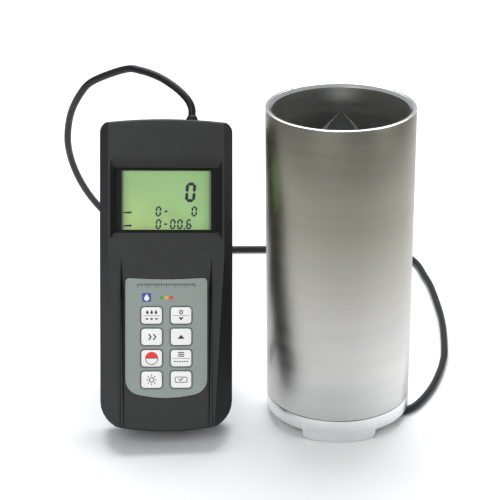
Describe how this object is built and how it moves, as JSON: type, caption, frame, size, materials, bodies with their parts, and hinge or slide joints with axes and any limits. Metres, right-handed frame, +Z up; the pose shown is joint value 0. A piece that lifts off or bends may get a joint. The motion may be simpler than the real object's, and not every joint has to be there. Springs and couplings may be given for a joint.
{
  "type": "grain moisture meter",
  "caption": "Hand-held grain moisture meter leaning on a tilt stand, wired by a cable to a tall metal sample cup with a central electrode.",
  "frame": {"origin": "on the table, under the middle of the box round the meter and the cup, the cable left out", "axes": "+Z up, +X from the meter to the cup, the display and keys face -Y"},
  "size_m": [0.223, 0.2603, 0.1746],
  "materials": {
    "case_black": "fine texture",
    "window_clear": "clear",
    "display_green": "gloss",
    "backlight_white": "matte",
    "frame_black": "satin",
    "overlay_grey": "fine texture",
    "key_white": "satin",
    "rubber_black": "satin",
    "board_green": "satin",
    "connector_cream": "satin",
    "battery_wrap": "gloss",
    "bright_steel": "satin",
    "cup_aluminium": "satin",
    "insulator_white": "matte"
  },
  "bodies": {
    "meter": {"front_cover": "case_black", "rear_cover": "case_black", "display_window": "window_clear", "display_glass": "display_green", "backlight": "backlight_white", "display_frame": "frame_black", "buzzer": "frame_black", "cable_clamp": "frame_black", "keypad_overlay": "overlay_grey", "key_mat": "rubber_black", "cable_grommet": "rubber_black", "sensor_cable": "rubber_black", "main_board": "board_green", "sensor_board": "board_green", "cable_connector": "connector_cream", "battery_1": "battery_wrap", "battery_2": "battery_wrap", "battery_3": "battery_wrap", "battery_4": "battery_wrap", "contact_strip_low": "bright_steel", "contact_strip_high": "bright_steel", "stand_rod": "bright_steel", "base_plate": "bright_steel", "electrode_nut": "bright_steel", "temperature_sensor": "bright_steel", "case_screw_1": "bright_steel", "case_screw_2": "bright_steel", "case_screw_3": "bright_steel", "case_screw_4": "bright_steel", "base_screw_1": "bright_steel", "base_screw_2": "bright_steel", "base_screw_3": "bright_steel", "cup_wall": "cup_aluminium", "base_ring": "cup_aluminium", "centre_electrode": "cup_aluminium", "floor_insulator": "insulator_white"},
    "key_1": {"key_1": "key_white"},
    "key_2": {"key_2": "key_white"},
    "key_3": {"key_3": "key_white"},
    "key_4": {"key_4": "key_white"},
    "key_5": {"key_5": "key_white"},
    "key_6": {"key_6": "key_white"},
    "key_7": {"key_7": "key_white"},
    "key_8": {"key_8": "key_white"},
    "battery_door": {"battery_door": "case_black"},
    "tilt_stand": {"tilt_stand": "case_black"}
  },
  "joints": [
    {"name": "key_1_press", "type": "slide", "parent": "meter", "child": "key_1", "axis": [-0.075, 0.9131, -0.4008], "range_m": [0, 0.0006], "stiffness_N_per_m": 1000},
    {"name": "key_2_press", "type": "slide", "parent": "meter", "child": "key_2", "axis": [-0.075, 0.9131, -0.4008], "range_m": [0, 0.0006], "stiffness_N_per_m": 1000},
    {"name": "key_3_press", "type": "slide", "parent": "meter", "child": "key_3", "axis": [-0.075, 0.9131, -0.4008], "range_m": [0, 0.0006], "stiffness_N_per_m": 1000},
    {"name": "key_4_press", "type": "slide", "parent": "meter", "child": "key_4", "axis": [-0.075, 0.9131, -0.4008], "range_m": [0, 0.0006], "stiffness_N_per_m": 1000},
    {"name": "key_5_press", "type": "slide", "parent": "meter", "child": "key_5", "axis": [-0.075, 0.9131, -0.4008], "range_m": [0, 0.0006], "stiffness_N_per_m": 1000},
    {"name": "key_6_press", "type": "slide", "parent": "meter", "child": "key_6", "axis": [-0.075, 0.9131, -0.4008], "range_m": [0, 0.0006], "stiffness_N_per_m": 1000},
    {"name": "key_7_press", "type": "slide", "parent": "meter", "child": "key_7", "axis": [-0.075, 0.9131, -0.4008], "range_m": [0, 0.0006], "stiffness_N_per_m": 1000},
    {"name": "key_8_press", "type": "slide", "parent": "meter", "child": "key_8", "axis": [-0.075, 0.9131, -0.4008], "range_m": [0, 0.0006], "stiffness_N_per_m": 1000},
    {"name": "battery_door_hinge", "type": "hinge", "parent": "meter", "child": "battery_door", "pos_m": [-0.04777, -0.0106, 0.0178], "axis": [-0.9972, -0.0687, 0.0301], "range_deg": [0, 60]},
    {"name": "stand_fold", "type": "hinge", "parent": "meter", "child": "tilt_stand", "pos_m": [-0.04769, 0.01901, 0.08786], "axis": [-0.9972, -0.0687, 0.0301], "range_deg": [0, 36]}
  ]
}
